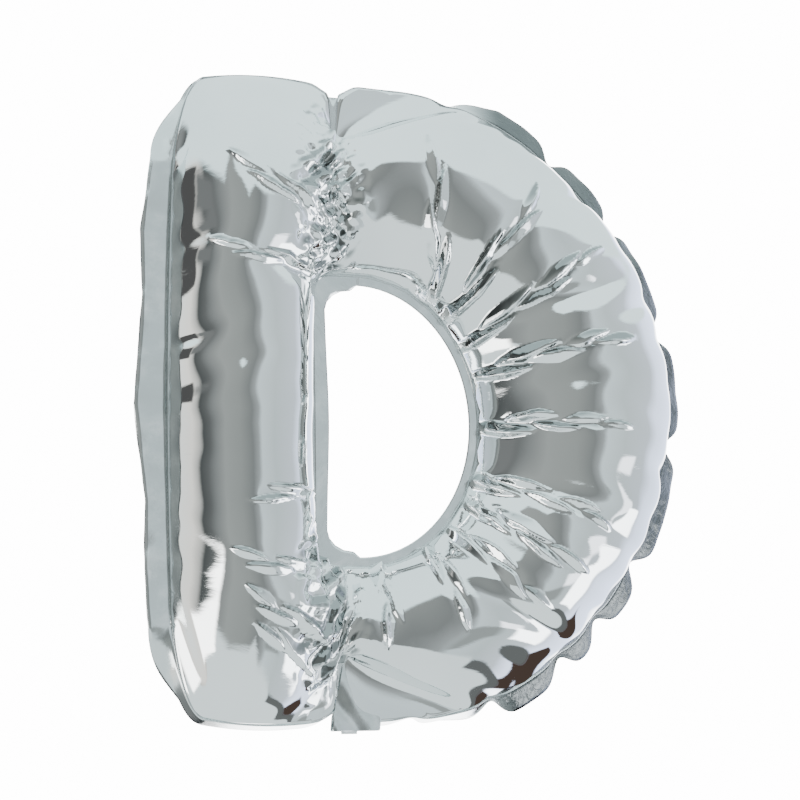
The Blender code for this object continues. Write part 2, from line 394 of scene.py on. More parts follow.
def dents(places):
    """Directions out of the bowl's centre and how dented the rim is there: 1 where a crease ends at it."""
    p, q = settings().flat, settings().puffed
    reach = (places - (q.bowl_x, q.bowl_z)) / (q.bowl_wide, q.bowl_tall)
    length = np.linalg.norm(reach, axis=1)
    turn = np.arctan2(reach[:, 1], reach[:, 0])
    dent = np.zeros(len(places))
    for chain in CHAINS:
        x, z = chain[2] * MM, chain[3] * MM
        if x > p.bowl_x:
            crease = math.atan2((z - p.bowl_z) / p.bowl_tall, (x - p.bowl_x) / p.bowl_wide)
            dent = np.maximum(dent, np.exp(-(((turn - crease) * q.bowl_wide / DENT_WIDE) ** 2)))
    return reach / length[:, None], dent * (length > RIM_SHARE)


def weld_goals(q, welds):
    """Where each weld point ends up on the inflated letter, and their numbers."""
    outer, _ = spaced_points(outer_curves(q, 0), 0, welds[0][1])
    hole, _ = spaced_points(hole_curves(q, 0), 0, welds[1][1])
    way, dent = dents(outer)
    places = np.concatenate([outer - way * dent[:, None] * DENT_DEEP, hole])
    goal = np.stack([places[:, 0], np.zeros(len(places)), places[:, 1]], 1)
    return np.concatenate([welds[0][0], welds[1][0]]), goal


# Inflation


def sides_of(faces):
    """Both ends of every triangle's first sides, then of the second ones and of the third ones."""
    return np.concatenate([faces[:, [0, 1]], faces[:, [1, 2]], faces[:, [2, 0]]])


def edges_of(faces):
    """Each edge once, and the number of the edge that each of the triangles' sides lies on."""
    unique, back = np.unique(np.sort(sides_of(faces), 1), axis=0, return_inverse=True)
    return unique, back.reshape(-1)


def bend_pairs(faces, part):
    """Points that face each other across an edge inside one part."""
    pairs = sides_of(faces)
    tips = np.concatenate([faces[:, 2], faces[:, 0], faces[:, 1]])
    parts = np.tile(part, 3)
    low, high = pairs.min(1).astype(np.int64), pairs.max(1)
    key = (low * (faces.max() + 1) + high) * 2 + parts
    order = np.argsort(key, kind="stable")
    twin = np.flatnonzero(key[order][1:] == key[order][:-1])
    return np.stack([tips[order][twin], tips[order][twin + 1]], 1)


# Smaller triangles of a split one: 0 to 2 are its corners, 3 to 5 the middles of its edges. The key
# adds 1, 2 and 4 for the edges that are split.
SPLITS = {
    0: ((0, 1, 2),),
    1: ((0, 3, 2), (3, 1, 2)),
    2: ((0, 1, 4), (0, 4, 2)),
    3: ((3, 1, 4), (0, 3, 4), (0, 4, 2)),
    4: ((0, 1, 5), (5, 1, 2)),
    5: ((0, 3, 5), (3, 1, 2), (3, 2, 5)),
    6: ((4, 2, 5), (0, 1, 4), (0, 4, 5)),
    7: ((0, 3, 5), (3, 1, 4), (5, 4, 2), (3, 4, 5)),
}


def with_middles(weld, edges, number):
    """A weld's points in order, with the new points between them."""
    loop, counts = weld
    ends = np.sort(np.stack([loop, np.roll(loop, -1)], 1), 1)
    count = edges.max() + 1
    found = np.searchsorted(edges[:, 0] * count + edges[:, 1], ends[:, 0] * count + ends[:, 1])
    return np.stack([loop, number[found]], 1).reshape(-1), [2 * each for each in counts]


def refine(flat, shape, faces, part, side, welds, wanted=None, normals=None):
    """Split triangles at the middles of their edges, in the pattern and in space.

    Only the edges whose middle is wanted are split, or all of them; a weld is only split with the rest.
    With normals, a new point of a film is lifted off its edge on to the round surface.
    """
    edges, back = edges_of(faces)
    middles = flat[edges].mean(1)
    ends = side[edges]
    split = np.ones(len(edges), bool) if wanted is None else wanted(middles) & (ends != 0).any(1)
    number = np.cumsum(split) - 1 + len(flat)
    around = back.reshape(3, len(faces)).T
    known = np.concatenate([faces, number[around]], 1)
    key = split[around] @ np.array([1, 2, 4])
    finer, parts = [], []
    for code, corners in SPLITS.items():
        chosen = key == code
        for corner in corners:
            finer.append(known[chosen][:, corner])
            parts.append(part[chosen])
    middle_side = np.where(ends[:, 0] == 0, ends[:, 1], ends[:, 0])
    places = shape[edges].mean(1)
    if normals is not None:
        first, second = edges.T
        lift = ((normals[second] - normals[first]) * (shape[second] - shape[first])).sum(1) / 8
        lift *= (ends != 0).all(1)
        places += lift[:, None] * (normals[first] + normals[second]) / 2
    flat = np.concatenate([flat, middles[split]])
    shape = np.concatenate([shape, places[split]])
    side = np.concatenate([side, middle_side[split]])
    if wanted is None:
        welds = [with_middles(weld, edges, number) for weld in welds]
    return flat, shape, np.concatenate(finer), np.concatenate(parts), side, welds


# Draws that fill one group before the next is begun
GROUP_DRAWS = 4


def separate_groups(pairs, count, rng):
    """Sort pairs into groups in which no two share a point, so a group can be solved at once."""
    first, second = pairs[:, 0], pairs[:, 1]
    left = np.arange(len(pairs))
    groups = []
    while len(left):
        taken = np.zeros(count, bool)
        wanted = left
        picked = []
        for _ in range(GROUP_DRAWS):
            if not len(wanted):
                break
            draw = rng.permutation(len(wanted)).astype(np.int64)
            best = np.full(count, len(pairs) + 1, np.int64)
            np.minimum.at(best, first[wanted], draw)
            np.minimum.at(best, second[wanted], draw)
            wins = (best[first[wanted]] == draw) & (best[second[wanted]] == draw)
            won = wanted[wins]
            picked.append(won)
            taken[first[won]] = True
            taken[second[won]] = True
            rest = wanted[~wins]
            wanted = rest[~taken[first[rest]] & ~taken[second[rest]]]
        group = np.sort(np.concatenate(picked))
        groups.append(group)
        left = np.setdiff1d(left, group, assume_unique=True)
    return groups


class Film:
    """Welded sheets as points joined by threads that keep their flat length."""

    def __init__(self, flat, shape, faces, part, welded, bend, rng):
        self.points = shape.astype(np.float32)
        self.speed = np.zeros_like(self.points)
        self.welded = welded
        edges, _ = edges_of(faces)
        share = np.clip((flat[edges, 0].mean(1) - settings().flat.notch_x) / PRESS_BLEND, 0, 1)
        self.threads = self.threads_of(edges, flat, 1.0, STEM_PRESS + (BOWL_PRESS - STEM_PRESS) * share, rng)
        self.braces = self.threads_of(bend_pairs(faces, part), flat, bend, bend, rng)
        corners = flat[faces]
        area = 0.5 * np.abs(np.cross(corners[:, 1] - corners[:, 0], corners[:, 2] - corners[:, 0]))
        weight = np.bincount(faces.reshape(-1), weights=np.repeat(area, 3) / 3, minlength=len(flat))
        self.faces = faces
        order = np.argsort(self.faces.reshape(-1), kind="stable")
        touched = self.faces.reshape(-1)[order]
        self.runs = np.flatnonzero(np.r_[True, touched[1:] != touched[:-1]])
        self.targets = touched[self.runs]
        self.sources = order // 3
        self.weight = weight[self.targets][:, None].astype(np.float32)

    def threads_of(self, pairs, flat, pull, press, rng):
        """Threads between pairs of points, in groups, with their flat length and half stiffnesses."""
        rest = np.linalg.norm(flat[pairs[:, 0]] - flat[pairs[:, 1]], axis=1).astype(np.float32)
        press = np.broadcast_to(press, len(pairs)).astype(np.float32)
        threads = []
        for group in separate_groups(pairs, len(flat), rng):
            ends = (pairs[group, 0].copy(), pairs[group, 1].copy())
            threads.append((*ends, rest[group], np.float32(0.5 * pull), 0.5 * press[group]))
        return threads

    def settle(self, threads, points):
        """Bring each thread back towards its rest length, harder when pulled than when pressed."""
        for first, second, rest, pull, press in threads:
            near, far = np.take(points, first, axis=0), np.take(points, second, axis=0)
            gap = far - near
            length = np.sqrt(np.einsum("ij,ij->i", gap, gap)) + 1e-9
            strain = (length - rest) / length
            gap *= (np.where(strain > 0, pull, press) * strain)[:, None]
            points[first] = near + gap
            points[second] = far - gap

    def step(self, pressure, rounds, keep, weld):
        """One step of time under pressure; keep is the share of speed that is left."""
        corners = np.take(self.points, self.faces.reshape(-1), axis=0).reshape(-1, 3, 3)
        normals = np.cross(corners[:, 1] - corners[:, 0], corners[:, 2] - corners[:, 0])
        push = np.add.reduceat(np.take(normals, self.sources, axis=0), self.runs, axis=0)
        points = self.points + self.speed * keep
        points[self.targets] += push * (pressure / 6) / self.weight
        points = points.astype(np.float32)
        self.settle(self.braces, points)
        for _ in range(rounds):
            self.settle(self.threads, points)
            points[self.welded] = weld
        self.speed = points - self.points
        self.points = points


# One row for each pass: steps, rounds of settling, pressure, bending stiffness
INFLATION_PASSES = (
    (260, 4, 3.0, 0.020),
    (130, 4, 2.0, 0.010),
    (50, 4, 1.5, 0.005),
)
# How hard the film resists being pressed together, from the stem, which is drawn smooth, to the bowl,
# which gathers, and how far it takes to change
STEM_PRESS, BOWL_PRESS = 0.02, 0.1
PRESS_BLEND = 20 * MM
# Half the gap between the sheets at the start, and how uneven they are
START_GAP = 2 * MM
START_UNEVEN = 0.1 * MM
# Late in a pass the pressure eases and more of the speed is lost: from which share on, and the values
EASE_FROM, EASED = 0.6, 0.4
SLOW_FROM, KEPT_SPEED, SLOW_SPEED = 0.7, 0.97, 0.9
# The welds reach their places after 1 / DRAW_RATE of a pass
DRAW_RATE = 2.5

_letter = {}


def inflate():
    """Blow up the flat letter, pass by pass on finer meshes, and keep the result for all pieces."""
    if _letter:
        return _letter
    film_settings = settings().film
    rng = np.random.default_rng(film_settings.seed)
    step = film_settings.step
    flat, faces, part, side, welds = flat_letter(settings().flat, step, rng)
    uneven = side * START_GAP + rng.normal(0, START_UNEVEN, len(flat))
    shape = np.stack([flat[:, 0], uneven, flat[:, 1]], 1)
    passes = film_settings.passes
    for index, (steps, rounds, pressure, bend) in enumerate(INFLATION_PASSES[:passes]):
        if index:
            step /= 2
            flat, shape, faces, part, side, welds = refine(flat, shape, faces, part, side, welds)
        welded, goal = weld_goals(settings().puffed, welds)
        start = shape[welded]
        film = Film(flat, shape, faces, part, welded, bend, rng)
        for count in range(steps):
            ease = 1.0 if count < steps * EASE_FROM else EASED
            keep = KEPT_SPEED if count < steps * SLOW_FROM else SLOW_SPEED
            drawn = min(1.0, DRAW_RATE * count / steps)
            film.step(pressure * step * MM * ease, rounds, keep, start + (goal - start) * drawn)
        shape = film.points.astype(float)
    dull = np.zeros(len(flat))
    shape = smoothed(shape, faces, side)
    letter = (flat, shape, faces, part, side, welds)
    flat, shape, faces, part, side, welds = refine(*letter, in_crease_zone, point_normals(shape, faces))
    smooth = point_normals(shape, faces)
    shape = creased(flat, shape, faces, side, rng)
    # Painted shade: how far each crease side turns up and left, which darkens its base colour
    turned = (point_normals(shape, faces) - smooth) @ np.array(PAINTED_SHADE_WAY)
    dull = np.clip((turned - PAINTED_SHADE_FROM) / (PAINTED_SHADE_FULL - PAINTED_SHADE_FROM), 0, 1)
    shape = seated(shape, welds[0][0])
    _letter.update(flat=flat, shape=shape, faces=faces, part=part, welds=welds, dull=dull)
    return _letter


# Rounds of smoothing, and how far each moves a point towards the middle of its neighbours
SMOOTH_ROUNDS = 24
SMOOTH_SHARE = 0.5

# Sides of creases that turn this way are painted darker: painted shade standing in for the film beside them,
# which they mirror instead of the room
PAINTED_SHADE_WAY = (-0.4, 0.0, 0.9)
PAINTED_SHADE_FROM, PAINTED_SHADE_FULL = 0.12, 0.35


def smoothed(shape, faces, side):
    """Film with its small wrinkles evened out; the welds stay where they are."""
    edges, _ = edges_of(faces)
    count = len(shape)
    here, there = np.concatenate([edges, edges[:, ::-1]]).T
    beside = np.bincount(here, minlength=count)[:, None]
    free = (side != 0)[:, None]
    for _ in range(SMOOTH_ROUNDS):
        total = [np.bincount(here, weights=places, minlength=count) for places in shape[there].T]
        shape = shape + SMOOTH_SHARE * free * (np.stack(total, 1) / beside - shape)
    return shape


# Chains of leaf-shaped creases on the flat pattern, in millimetres, from the hole's side outwards.
# Leaves is how many lie along the chain, wide the width of the longest and fold the valley's depth.
CHAINS = (
    # from x, z    to x, z    leaves  wide  fold
    (171, 64, 169, 150, 4, 8.5, 1.8),
    (183, 54, 230, 125, 4, 9.0, 2.0),
    (193, 35, 264, 93, 5, 9.0, 2.0),
    (201, 16, 283, 38, 5, 9.0, 2.0),
    (203, -15, 283, -17, 5, 8.5, 2.0),
    (198, -46, 271, -78, 5, 9.0, 2.0),
    (196, -63, 250, -108, 4, 9.0, 2.0),
    (182, -78, 228, -127, 4, 9.0, 2.0),
    (167, -89, 185, -139, 3, 8.0, 1.6),
    (140, -93, 143, -151, 3, 8.0, 1.4),
    (90, 100, 44, 130, 3, 8.0, 1.2),
    (92, 66, 34, 80, 3, 8.0, 1.4),
    (90, -62, 56, -65, 2, 6.5, 1.0),
    (87, -108, 44, -98, 3, 7.5, 1.2),
    (84, -140, 50, -118, 3, 7.5, 1.0),
    (82, -158, 58, -135, 2, 7.0, 0.8),
)
# Half width and spare length of the fine mesh along a chain, and the valley's half width
CHAIN_REACH = 10 * MM
CHAIN_SPARE = 5 * MM
FOLD_WIDE = 3.5 * MM
# Shares of a chain over which its valley sinks and rises
FOLD_ENDS = (0.16, 0.22)
# A leaf's height as a share of half its width, and its half length as a share of the leaves' spacing
LEAF_TALL = 0.85
LEAF_LONG = 1.15
# Sizes at the chain's two ends, step aside as a share of the width, and how uneven place and size are
LEAF_ENDS = (1.15, 0.7)
LEAF_ASIDE = 0.3
LEAF_UNEVEN = (0.12, 0.1)
# Least and most turn and skew of a leaf, and the draw whose sign says which way it is skewed
LEAF_TURN = (0.06, 0.16)
LEAF_SKEW = (0.35, 0.55)
LEAF_HAND = (-0.6, 0.4)

# Crumpled film between the hole's corners and the notches, on the flat pattern, in millimetres
CRUMPLES = (
    # middle x, z  half wide, half tall  depth
    (103, 120, 30, 66, 5.0),
    (102, -130, 30, 62, 5.0),
)
# Facet waves, their mean length and its least and most share, and how steeply a patch fades at its edge
CRUMPLE_WAVES = 6
CRUMPLE_LONG = 14 * MM
CRUMPLE_SPAN = (0.45, 1.3)
CRUMPLE_FADE = 1.6
# Depth and length of the slow wave that bends the facets
BEND_DEEP = 3 * MM
BEND_LONG = 9 * MM
# Creases fade out over this distance from a weld
CREASE_FADE = 6 * MM


def along_chain(flat, chain):
    """Each point's share along a chain and its distance to the side of it."""
    start, end = np.array(chain[:2]) * MM, np.array(chain[2:4]) * MM
    length = np.linalg.norm(end - start)
    way = (end - start) / length
    offset = flat - start
    return offset @ way / length, offset @ np.array([-way[1], way[0]]), length


def crumple_share(flat, row):
    """1 in the middle of a crumpled patch, falling to 0 at its edge."""
    x, z, wide, tall = np.array(row[:4]) * MM
    reach = np.hypot((flat[:, 0] - x) / wide, (flat[:, 1] - z) / tall)
    return np.clip(CRUMPLE_FADE * (1 - reach), 0, 1)


def in_crease_zone(flat):
    """Where the film needs its finest triangles."""
    zone = np.zeros(len(flat), bool)
    for chain in CHAINS:
        share, off, length = along_chain(flat, chain)
        spare = CHAIN_SPARE / length
        zone |= (share > -spare) & (share < 1 + spare) & (np.abs(off) < CHAIN_REACH)
    for row in CRUMPLES:
        zone |= crumple_share(flat, row) > 0
    return zone


def point_normals(shape, faces):
    """Each film point's outward normal."""
    corners = shape[faces]
    across = np.cross(corners[:, 1] - corners[:, 0], corners[:, 2] - corners[:, 0])
    normals = np.zeros_like(shape)
    for corner in range(3):
        for axis in range(3):
            normals[:, axis] += np.bincount(faces[:, corner], weights=across[:, axis], minlength=len(shape))
    return normals / (np.linalg.norm(normals, axis=1, keepdims=True) + 1e-12)


def leaf(run, off, middle, aside, half_long, half_wide, turn, skew):
    """Height, from 0 to 1, of one leaf: a ridge, a wide flat side and a steep one."""
    along, across = run - middle, off - aside
    u = (along * math.cos(turn) + across * math.sin(turn)) / half_long
    v = (across * math.cos(turn) - along * math.sin(turn)) / half_wide
    rim = np.clip(1 - u * u, 1e-6, None)
    sides = np.minimum((rim + v) / (1 + skew), (rim - v) / (1 - skew))
    return np.where(np.abs(u) < 1, np.clip(sides, 0, None), 0)


def chain_height(flat, chain, rng):
    """Valley along a chain, filled with long overlapping leaves that step from side to side."""
    leaves, wide, fold = chain[4], chain[5] * MM, chain[6] * MM
    share, off, length = along_chain(flat, chain)
    ends = np.clip(share / FOLD_ENDS[0], 0, 1) * np.clip((1 - share) / FOLD_ENDS[1], 0, 1)
    valley = -fold * ends * np.exp(-np.abs(off) / FOLD_WIDE)
    run = share * length
    bulges = np.zeros(len(flat))
    for index in range(leaves):
        hand = 1 if index % 2 else -1
        place = (index + 0.5 + rng.uniform(-LEAF_UNEVEN[0], LEAF_UNEVEN[0])) / leaves
        size = LEAF_ENDS[0] + (LEAF_ENDS[1] - LEAF_ENDS[0]) * place
        size += rng.uniform(-LEAF_UNEVEN[1], LEAF_UNEVEN[1])
        aside = hand * LEAF_ASIDE * wide * size
        turn = hand * rng.uniform(*LEAF_TURN)
        half_long = LEAF_LONG * length / leaves * size
        half_wide = 0.5 * wide * size
        skew = math.copysign(rng.uniform(*LEAF_SKEW), rng.uniform(*LEAF_HAND))
        bulge = leaf(run, off, place * length, aside, half_long, half_wide, turn, skew)
        bulges = np.maximum(bulges, LEAF_TALL * half_wide * bulge)
    return valley + bulges


def crumple_height(flat, row, rng):
    """Flat facets with sharp ridges: triangle waves in a few directions, bent by a slow wave."""
    height = np.zeros(len(flat))
    bend = BEND_DEEP * np.sin(flat[:, ::-1] / BEND_LONG + rng.uniform(0, 6, 2))
    for _ in range(CRUMPLE_WAVES):
        angle = rng.uniform(0, math.pi)
        long = CRUMPLE_LONG * rng.uniform(*CRUMPLE_SPAN)
        place = (flat + bend) @ np.array([math.cos(angle), math.sin(angle)]) / long + rng.uniform()
        height += (np.abs(place % 1 - 0.5) - 0.25) * long / CRUMPLE_LONG
    return height * crumple_share(flat, row) * row[4] * MM


def creased(flat, shape, faces, side, rng):
    """Push the creases into both films; the two sheets crease alike but not the same."""
    pattern = settings().flat
    outer, _ = spaced_points(outer_curves(pattern, 0), 4 * MM)
    hole, _ = spaced_points(hole_curves(pattern, 0), 3 * MM)
    height = np.zeros(len(flat))
    for face in (-1, 1):
        chosen = np.flatnonzero(side == face)
        near = flat[chosen]
        push = np.zeros(len(chosen))
        for chain in CHAINS:
            push += chain_height(near, chain, rng)
        for row in CRUMPLES:
            push += crumple_height(near, row, rng)
        clear = np.minimum(distance_to(outer, near), distance_to(hole, near))
        height[chosen] = push * np.clip(clear / CREASE_FADE, 0, 1)
    return shape + point_normals(shape, faces) * height[:, None]


def seated(shape, rim):
    """Move the inflated letter so that its outer weld is centred where the frame's films are."""
    front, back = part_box("front_film"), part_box("back_film")
    low = np.minimum(front[0], back[0])
    high = np.maximum(front[1], back[1])
    return shape + (low + high) / 2 - (shape[rim].min(0) + shape[rim].max(0)) / 2


# Meshes


def new_object(name, mesh):
    made = bpy.data.objects.new(name, mesh)
    bpy.context.scene.collection.objects.link(made)
    return made


def plain(source, name):
    """Evaluated copy of an object as a plain mesh; the source is removed."""
    depsgraph = bpy.context.evaluated_depsgraph_get()
    mesh = bpy.data.meshes.new_from_object(source.evaluated_get(depsgraph))
    mesh.name = name
    bpy.data.objects.remove(source)
    return new_object(name, mesh)


def finish_piece(piece, slot, *nodes):
    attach(piece, BODY)
    if nodes:
        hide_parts(*nodes)


def sheet_piece(name, points, faces, flat, thickness, offset, material, dull=None):
    """A sheet of film as a thin closed shell, with its place on the flat film as its UV map, and with its
    painted shade of crease sides, if given, as a second one.
    """
    mesh = bpy.data.meshes.new(name)
    mesh.from_pydata(points.tolist(), [], faces.tolist())
    layer = mesh.uv_layers.new(name="pattern")
    layer.data.foreach_set("uv", flat[faces.reshape(-1)].astype(np.float32).reshape(-1))
    # Second UV map: each point's painted shade, 0 for bare film and 1 for a crease side painted dark
    if dull is not None:
        layer = mesh.uv_layers.new(name="dull")
        layer.data.foreach_set("uv", np.repeat(dull[faces.reshape(-1)], 2).astype(np.float32))
    mesh.materials.append(material)
    mesh.shade_smooth()
    sheet = new_object(name, mesh)
    shell = sheet.modifiers.new("shell", "SOLIDIFY")
    shell.thickness = thickness
    shell.offset = offset
    return plain(sheet, name)


def film_piece(name, part, material):
    """The front or back sheet of the inflated letter."""
    letter = inflate()
    faces = letter["faces"][letter["part"] == part]
    used, local = np.unique(faces, return_inverse=True)
    faces = local.reshape(-1, 3)
    # Each point's painted shade of crease sides goes with the sheet
    shape, flat, dull = (letter[key][used] for key in ("shape", "flat", "dull"))
    return sheet_piece(name, shape, faces, flat, settings().film.thickness, -1, material, dull)


# How far the margin leans back, in degrees: on the letter's left, on its right, and at top and foot
MARGIN_LEAN = (-6, 26, 80)
# How steeply the outline has to face up or down for the lean of top and foot to begin, and over how much
# more it takes to be full: on the left and on the right
UPRIGHT_LEFT = (0.3, 0.6)
UPRIGHT_RIGHT = (0.93, 0.06)
# The film between the two walls of a notch is flat, from here to here above and below the middle
NOTCH_LEVEL = 100 * MM
WEB_LEVEL = 168 * MM
MARGIN_ROWS = 6
# Share of the margin's width that is lost where a crease of the bowl ends
NOTCHED_MARGIN = 0.8
# Width of the left margin by height in millimetres, as a share of the margin's width
LEFT_MARGIN = (
    (-165, 0.9),
    (-95, 1.1),
    (-60, 1.0),
    (-10, 1.45),
    (25, 1.25),
    (50, 1.15),
    (85, 1.3),
    (120, 1.0),
    (165, 0.8),
)
# Distance over which the margin narrows towards a notch, and its least share there
NOTCH_TAPER = 14 * MM
LEAST_MARGIN = 0.12
# Width of the hole's margin along its arc, as a share of its width beside the stem
ARC_MARGIN = 0.6
# Waves of the margin's cut edge: how many round the letter, and how deep in millimetres
MARGIN_WAVES = ((23, 0.7), (41, 0.5), (67, 0.25))


def margin_lean(way):
    """How far each column of the outer margin leans back, by the way that the outline faces there."""
    left, right, upright = MARGIN_LEAN
    lean = left + (right - left) * np.clip(0.5 + way[:, 0], 0, 1)
    begin, span = np.where(way[:, :1] < 0, UPRIGHT_LEFT, UPRIGHT_RIGHT).T
    share = np.clip((np.abs(way[:, 1]) - begin) / span, 0, 1)
    return np.radians(lean + (upright - lean) * share)


def margin_size(start, beside):
    """Width of each column of the outer margin, as a share of the margin's width."""
    size = 1 - NOTCHED_MARGIN * dents(start)[1]
    heights, widths = np.array(LEFT_MARGIN).T
    on_left = start[:, 0] < settings().puffed.corner_across
    size *= np.where(on_left, np.interp(start[:, 1], heights * MM, widths), 1)
    taper = np.clip(beside / NOTCH_TAPER, LEAST_MARGIN, 1)
    return size * np.where(np.abs(start[:, 1]) > NOTCH_LEVEL, taper, 1)


def margin_piece(name, index, wide, material):
    """Welded margin along one weld, as a thin closed strip that waves a little at its cut edge."""
    q = settings().puffed
    curves = (outer_curves, hole_curves)[index]
    loop, counts = inflate()["welds"][index]
    weld = inflate()["shape"][loop]
    count = len(loop)
    start = spaced_points(curves(q, 0), 0, counts)[0]
    reach = spaced_points(curves(q, wide), 0, counts)[0] - start
    way = reach / np.linalg.norm(reach, axis=1)[:, None]
    if index == OUTER:
        turn = np.arange(count) / count * 2 * math.pi
        beside = np.abs(start[:, 0] - q.notch_x) - q.notch_half
        reach *= margin_size(start, beside)[:, None]
        height, side = np.abs(start[:, 1]), np.sign(start[:, 1])
        web = (beside < 1e-6) & (height < WEB_LEVEL) & (height > NOTCH_LEVEL)
        reach[web] = np.stack([0 * side, side * WEB_LEVEL - start[:, 1]], 1)[web]
        lean = margin_lean(way) * ~web
        wave = ~web * sum(deep * MM * np.sin(times * turn + times) for times, deep in MARGIN_WAVES)
    else:
        reach *= (ARC_MARGIN + (1 - ARC_MARGIN) * np.clip(way[:, 0], 0, 1))[:, None]
        lean = wave = np.zeros(count)
    length = np.linalg.norm(reach, axis=1)
    columns = []
    for share in np.linspace(0, 1, MARGIN_ROWS + 1):
        along = reach * (share * np.cos(lean))[:, None]
        back = length * share * np.sin(lean) + wave * share * share
        columns.append(weld + np.stack([along[:, 0], back, along[:, 1]], 1))
    points = np.stack(columns, 1).reshape(-1, 3)
    across = MARGIN_ROWS + 1
    faces = []
    for here in range(count):
        there = (here + 1) % count
        for row in range(MARGIN_ROWS):
            near, far = here * across + row, there * across + row
            faces.append((near, near + 1, far + 1, far))
    along_weld, over_margin = distance_along(weld), np.linspace(0, wide, across)
    flat = np.stack([np.repeat(along_weld, across), np.tile(over_margin, count)], 1)
    thickness = settings().film.margin_thickness
    return sheet_piece(name, points, np.array(faces), flat, thickness, 0, material)


# Materials


class Value:
    """A node socket that can be used in sums."""

    def __init__(self, graph, socket):
        self.graph = graph
        self.socket = socket

    def maths(self, operation, first, second):
        return self.graph.node("ShaderNodeMath", {"operation": operation}, [first, second])

    def __add__(self, other):
        return self.maths("ADD", self, other)

    def __radd__(self, other):
        return self.maths("ADD", other, self)

    def __sub__(self, other):
        return self.maths("SUBTRACT", self, other)

    def __rsub__(self, other):
        return self.maths("SUBTRACT", other, self)

    def __mul__(self, other):
        return self.maths("MULTIPLY", self, other)

    def __rmul__(self, other):
        return self.maths("MULTIPLY", other, self)

    def __truediv__(self, other):
        return self.maths("DIVIDE", self, other)

    def __rtruediv__(self, other):
        return self.maths("DIVIDE", other, self)


class Graph:
    """Builds the nodes of one material or world."""

    def __init__(self, tree):
        self.tree = tree

    def node(self, kind, options=None, values=None, output=0):
        """Add a node, set its options first, then its sockets, and return one output."""
        made = self.tree.nodes.new(kind)
        for key, value in (options or {}).items():
            if key == "stops":
                self.set_stops(made.color_ramp, value)
            else:
                setattr(made, key, value)
        sockets = values.items() if isinstance(values, dict) else enumerate(values or [])
        for key, value in sockets:
            self.feed(made.inputs[key], value)
        return Value(self, made.outputs[output])

    def feed(self, socket, value):
        if isinstance(value, Value):
            self.tree.links.new(value.socket, socket)
        elif socket.type == "RGBA" and len(value) == 3:
            socket.default_value = (*value, 1)
        else:
            socket.default_value = value

    def set_stops(self, ramp, stops):
        """Colour ramp stops as (place, colour) rows; a grey is one number."""
        while len(ramp.elements) > 1:
            ramp.elements.remove(ramp.elements[-1])
        for index, (place, colour) in enumerate(stops):
            stop = ramp.elements[0] if index == 0 else ramp.elements.new(place)
            stop.position = place
            stop.color = (*colour, 1) if isinstance(colour, tuple) else (colour, colour, colour, 1)

    def mix(self, factor, first, second):
        """Blend two colours."""
        options = {"data_type": "RGBA"}
        return self.node("ShaderNodeMix", options, {0: factor, 6: first, 7: second}, output=2)

    def band(self, value, low, high):
        """0 below low and 1 above high, smooth between."""
        options = {"interpolation_type": "SMOOTHSTEP"}
        return self.node("ShaderNodeMapRange", options, {0: value, 1: low, 2: high, 3: 0.0, 4: 1.0})

    def window(self, value, low, high, soft):
        """1 between low and high and 0 outside, with soft edges."""
        return self.band(value, low - soft, low + soft) * (1 - self.band(value, high - soft, high + soft))

    def noise(self, vector, scale, detail, roughness=0.5, distortion=0.0):
        values = {"Vector": vector, "Scale": scale, "Detail": detail, "Roughness": roughness}
        values["Distortion"] = distortion
        return self.node("ShaderNodeTexNoise", {}, values)

    def stretched(self, vector, scale):
        """Coordinates scaled by a different number along each axis."""
        return self.node("ShaderNodeMapping", {}, {"Vector": vector, "Scale": scale})

    def relief(self, shader, strength, deep, height):
        """Fine relief on a shader's surface."""
        values = {"Strength": strength, "Distance": deep, "Height": height}
        self.feed(shader.inputs["Normal"], self.node("ShaderNodeBump", {}, values))


def principled(name, colour, metallic, roughness):
    """New material with a Principled shader; returns it, its graph and its shader node."""
    material = bpy.data.materials.new(name)
    material.use_nodes = True
    shader = material.node_tree.nodes["Principled BSDF"]
    shader.inputs["Base Color"].default_value = (*colour, 1)
    shader.inputs["Metallic"].default_value = metallic
    shader.inputs["Roughness"].default_value = roughness
    return material, Graph(material.node_tree), shader


# Strength and depth of the relief: ripple on the film, crimp on a flat and on a gathered margin, sleeve
RIPPLE, RIPPLE_DEEP = 0.03, 1.2 * MM
CRIMP, GATHERED_CRIMP, CRIMP_DEEP = 0.12, 0.5, 0.6 * MM
SLEEVE_CLOUD = 0.35


def silver_foil(name):
    """Mirror film: faint tone changes, painted shade on the sides of creases, handling haze and a fine
    ripple that follows the sheet.
    """
    colours = settings().finish
    material, graph, shader = principled(name, colours.film, 1.0, 0.06)
    sheet = graph.node("ShaderNodeUVMap", {"uv_map": "pattern"})
    tone = graph.band(graph.noise(sheet, 9.0, 3.0), 0.35, 0.7)
    tone = graph.mix(tone, colours.film, colours.film_deep)
    # Painted shade: crease sides marked in the second UV map take the dark film colour
    dull = graph.node("ShaderNodeSeparateXYZ", {}, [graph.node("ShaderNodeUVMap", {"uv_map": "dull"})])
    graph.feed(shader.inputs["Base Color"], graph.mix(dull, tone, colours.film_dull))
    haze = graph.band(graph.noise(sheet, 34.0, 5.0, 0.6), 0.45, 0.8)
    graph.feed(shader.inputs["Roughness"], 0.035 + haze * 0.06)
    ripple = graph.noise(graph.stretched(sheet, (60.0, 150.0, 1.0)), 1.0, 4.0, 0.55, 0.6)
    fine = graph.noise(sheet, 620.0, 2.0)
    graph.relief(shader, RIPPLE, RIPPLE_DEEP, ripple + fine * 0.05)
    return material


# Where the margin begins to gather and to be painted darker as painted shade, and where both are full,
# across from the letter's middle
GATHER_AND_PAINTED_SHADE = (20 * MM, 50 * MM)


